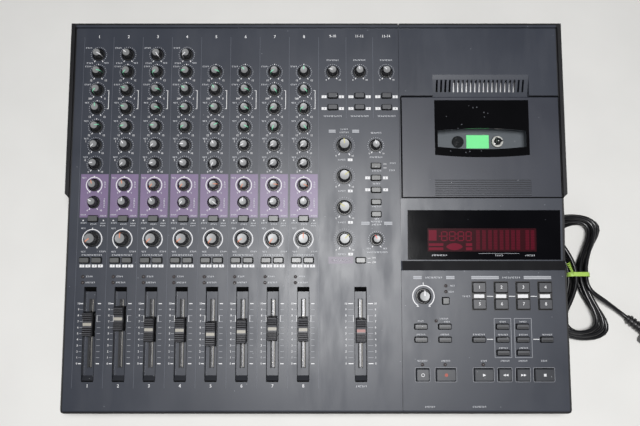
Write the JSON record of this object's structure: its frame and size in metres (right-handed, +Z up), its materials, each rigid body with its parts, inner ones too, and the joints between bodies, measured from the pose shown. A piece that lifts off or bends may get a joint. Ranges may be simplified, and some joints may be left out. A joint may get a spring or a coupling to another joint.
{
  "type": "multitrack cassette recorder",
  "caption": "Desktop multitrack cassette recorder with a sloping mixer panel of knobs and faders, a lidded tape deck, a display, transport keys and a tied mains cord.",
  "frame": {"origin": "middle of the recorder's footprint, on the table under its feet", "axes": "+X to the user's right, +Y to the back, +Z up; the panel slopes up to the back at 8 degrees"},
  "size_m": [0.6534, 0.4416, 0.109],
  "materials": {
    "panel": "fine texture",
    "tray": "fine texture",
    "rear_plate": "satin",
    "foot_rubber": "matt",
    "screw_steel": "plated",
    "board": "varnished",
    "transformer_steel": "varnished",
    "control_metal": "plated",
    "knob": "satin",
    "fader_cap": "satin",
    "button": "satin",
    "key": "satin",
    "lamp": "clear red",
    "display_glass": "polished",
    "display_tube": "polished",
    "window": "smoked clear",
    "well": "fine texture",
    "green": "bright",
    "hub_dark": "satin",
    "hub_light": "satin",
    "head_steel": "polished",
    "chassis_steel": "zinc plated",
    "flywheel_brass": "turned",
    "socket": "satin",
    "cord": "glossy sheath",
    "tie": "thin strip",
    "plug": "moulded"
  },
  "bodies": {
    "case": {"bottom_case": "tray", "mixer_cover": "panel", "deck_cover": "panel", "rear_panel": "rear_plate", "feet": "foot_rubber", "case_screws": "screw_steel", "mixer_board": "board", "deck_board": "board", "transformer": "transformer_steel", "rotary_pots": "control_metal", "slide_pots": "control_metal", "channel_knobs": "knob", "pan_knobs": "knob", "indicator_lamps": "lamp", "display_lens": "display_glass", "display_tube": "display_tube", "cassette_well": "well", "green_plate": "green", "deck_chassis": "chassis_steel", "drive_motor": "chassis_steel", "socket_jacks": "socket", "cord_gland": "cord", "cord_runs": "cord", "cord_hank": "cord", "cord_tie": "tie", "mains_plug": "plug"},
    "fader_1_cap": {"fader_1": "fader_cap"},
    "fader_2_cap": {"fader_2": "fader_cap"},
    "fader_3_cap": {"fader_3": "fader_cap"},
    "fader_4_cap": {"fader_4": "fader_cap"},
    "fader_5_cap": {"fader_5": "fader_cap"},
    "fader_6_cap": {"fader_6": "fader_cap"},
    "fader_7_cap": {"fader_7": "fader_cap"},
    "fader_8_cap": {"fader_8": "fader_cap"},
    "stereo_fader_cap": {"stereo_fader": "fader_cap"},
    "group_knob_1_body": {"group_knob_1": "knob"},
    "group_knob_2_body": {"group_knob_2": "knob"},
    "group_knob_3_body": {"group_knob_3": "knob"},
    "group_knob_4_body": {"group_knob_4": "knob"},
    "tape_in_knob_body": {"tape_in_knob": "knob"},
    "monitor_knob_body": {"monitor_knob": "knob"},
    "speed_knob_body": {"speed_knob": "knob"},
    "return_key_body": {"return_key": "key"},
    "record_key_body": {"record_key": "key"},
    "play_key_body": {"play_key": "key"},
    "rewind_key_body": {"rewind_key": "key"},
    "forward_key_body": {"forward_key": "key"},
    "stop_key_body": {"stop_key": "key"},
    "flip_buttons_set": {"flip_buttons": "button"},
    "assign_buttons_set": {"assign_buttons": "button"},
    "stereo_in_buttons_set": {"stereo_in_buttons": "button"},
    "monitor_buttons_set": {"monitor_buttons": "button"},
    "rec_select_keys_set": {"rec_select_keys": "key"},
    "locate_buttons_set": {"locate_buttons": "key"},
    "lid_door": {"lid": "panel", "lid_window": "window"},
    "supply_hub_reel": {"supply_hub": "hub_dark"},
    "takeup_hub_reel": {"takeup_hub": "hub_light"},
    "capstan": {"flywheel": "flywheel_brass"},
    "heads": {"head_carriage": "head_steel"}
  },
  "joints": [
    {"name": "fader_1_slide", "type": "slide", "parent": "case", "child": "fader_1_cap", "axis": [0, 0.9903, 0.1392], "range_m": [-0.0394, 0.0206]},
    {"name": "fader_2_slide", "type": "slide", "parent": "case", "child": "fader_2_cap", "axis": [0, 0.9903, 0.1392], "range_m": [-0.0449, 0.0151]},
    {"name": "fader_3_slide", "type": "slide", "parent": "case", "child": "fader_3_cap", "axis": [0, 0.9903, 0.1392], "range_m": [-0.0341, 0.0259]},
    {"name": "fader_4_slide", "type": "slide", "parent": "case", "child": "fader_4_cap", "axis": [0, 0.9903, 0.1392], "range_m": [-0.0336, 0.0264]},
    {"name": "fader_5_slide", "type": "slide", "parent": "case", "child": "fader_5_cap", "axis": [0, 0.9903, 0.1392], "range_m": [-0.0296, 0.0304]},
    {"name": "fader_6_slide", "type": "slide", "parent": "case", "child": "fader_6_cap", "axis": [0, 0.9903, 0.1392], "range_m": [-0.0322, 0.0278]},
    {"name": "fader_7_slide", "type": "slide", "parent": "case", "child": "fader_7_cap", "axis": [0, 0.9903, 0.1392], "range_m": [-0.035, 0.025]},
    {"name": "fader_8_slide", "type": "slide", "parent": "case", "child": "fader_8_cap", "axis": [0, 0.9903, 0.1392], "range_m": [-0.0342, 0.0258]},
    {"name": "stereo_fader_slide", "type": "slide", "parent": "case", "child": "stereo_fader_cap", "axis": [0, 0.9903, 0.1392], "range_m": [-0.033, 0.027]},
    {"name": "group_knob_1_turn", "type": "hinge", "parent": "case", "child": "group_knob_1_body", "pos_m": [0.0292, 0.07031, 0.08599], "axis": [0, -0.1392, 0.9903], "range_deg": [-155, 145]},
    {"name": "group_knob_2_turn", "type": "hinge", "parent": "case", "child": "group_knob_2_body", "pos_m": [0.0292, 0.03793, 0.08144], "axis": [0, -0.1392, 0.9903], "range_deg": [-95, 205]},
    {"name": "group_knob_3_turn", "type": "hinge", "parent": "case", "child": "group_knob_3_body", "pos_m": [0.0292, 0.00555, 0.07689], "axis": [0, -0.1392, 0.9903], "range_deg": [-205, 95]},
    {"name": "group_knob_4_turn", "type": "hinge", "parent": "case", "child": "group_knob_4_body", "pos_m": [0.0292, -0.02684, 0.07234], "axis": [0, -0.1392, 0.9903], "range_deg": [-105, 195]},
    {"name": "tape_in_knob_turn", "type": "hinge", "parent": "case", "child": "tape_in_knob_body", "pos_m": [0.0621, 0.07031, 0.08599], "axis": [0, -0.1392, 0.9903], "range_deg": [-160, 140]},
    {"name": "monitor_knob_turn", "type": "hinge", "parent": "case", "child": "monitor_knob_body", "pos_m": [0.0621, -0.02694, 0.07233], "axis": [0, -0.1392, 0.9903], "range_deg": [-175, 125]},
    {"name": "speed_knob_turn", "type": "hinge", "parent": "case", "child": "speed_knob_body", "pos_m": [0.1093, -0.08427, 0.06427], "axis": [0, -0.1392, 0.9903], "range_deg": [-150, 150]},
    {"name": "return_key_press", "type": "slide", "parent": "case", "child": "return_key_body", "axis": [0, 0.1392, -0.9903], "range_m": [0, 0.0015], "stiffness_N_per_m": 200, "springref_m": -0.002},
    {"name": "record_key_press", "type": "slide", "parent": "case", "child": "record_key_body", "axis": [0, 0.1392, -0.9903], "range_m": [0, 0.0015], "stiffness_N_per_m": 200, "springref_m": -0.002},
    {"name": "play_key_press", "type": "slide", "parent": "case", "child": "play_key_body", "axis": [0, 0.1392, -0.9903], "range_m": [0, 0.0015], "stiffness_N_per_m": 200, "springref_m": -0.002},
    {"name": "rewind_key_press", "type": "slide", "parent": "case", "child": "rewind_key_body", "axis": [0, 0.1392, -0.9903], "range_m": [0, 0.0015], "stiffness_N_per_m": 200, "springref_m": -0.002},
    {"name": "forward_key_press", "type": "slide", "parent": "case", "child": "forward_key_body", "axis": [0, 0.1392, -0.9903], "range_m": [0, 0.0015], "stiffness_N_per_m": 200, "springref_m": -0.002},
    {"name": "stop_key_press", "type": "slide", "parent": "case", "child": "stop_key_body", "axis": [0, 0.1392, -0.9903], "range_m": [0, 0.0015], "stiffness_N_per_m": 200, "springref_m": -0.002},
    {"name": "flip_buttons_press", "type": "slide", "parent": "case", "child": "flip_buttons_set", "axis": [0, 0.1392, -0.9903], "range_m": [0, 0.0015], "stiffness_N_per_m": 400, "springref_m": -0.002},
    {"name": "assign_buttons_press", "type": "slide", "parent": "case", "child": "assign_buttons_set", "axis": [0, 0.1392, -0.9903], "range_m": [0, 0.0015], "stiffness_N_per_m": 400, "springref_m": -0.002},
    {"name": "stereo_in_buttons_press", "type": "slide", "parent": "case", "child": "stereo_in_buttons_set", "axis": [0, 0.1392, -0.9903], "range_m": [0, 0.0015], "stiffness_N_per_m": 400, "springref_m": -0.002},
    {"name": "monitor_buttons_press", "type": "slide", "parent": "case", "child": "monitor_buttons_set", "axis": [0, 0.1392, -0.9903], "range_m": [0, 0.0015], "stiffness_N_per_m": 400, "springref_m": -0.002},
    {"name": "rec_select_keys_press", "type": "slide", "parent": "case", "child": "rec_select_keys_set", "axis": [0, 0.1392, -0.9903], "range_m": [0, 0.0015], "stiffness_N_per_m": 400, "springref_m": -0.002},
    {"name": "locate_buttons_press", "type": "slide", "parent": "case", "child": "locate_buttons_set", "axis": [0, 0.1392, -0.9903], "range_m": [0, 0.0015], "stiffness_N_per_m": 400, "springref_m": -0.002},
    {"name": "lid_hinge", "type": "hinge", "parent": "case", "child": "lid_door", "pos_m": [0.17325, 0.12033, 0.09151], "axis": [-1, 0, 0], "range_deg": [0, 60]},
    {"name": "supply_hub_spin", "type": "hinge", "parent": "case", "child": "supply_hub_reel", "pos_m": [0.152, 0.08179, 0.06539], "axis": [0, -0.1392, 0.9903], "range_deg": [-180, 180]},
    {"name": "takeup_hub_spin", "type": "hinge", "parent": "case", "child": "takeup_hub_reel", "pos_m": [0.1945, 0.08179, 0.06539], "axis": [0, -0.1392, 0.9903], "range_deg": [-180, 180]},
    {"name": "flywheel_spin", "type": "hinge", "parent": "case", "child": "capstan", "pos_m": [0.20725, 0.06597, 0.04499], "axis": [0, -0.1392, 0.9903], "range_deg": [-180, 180]},
    {"name": "head_slide", "type": "slide", "parent": "case", "child": "heads", "axis": [0, 0.9903, 0.1392], "range_m": [0, 0.008]}
  ]
}
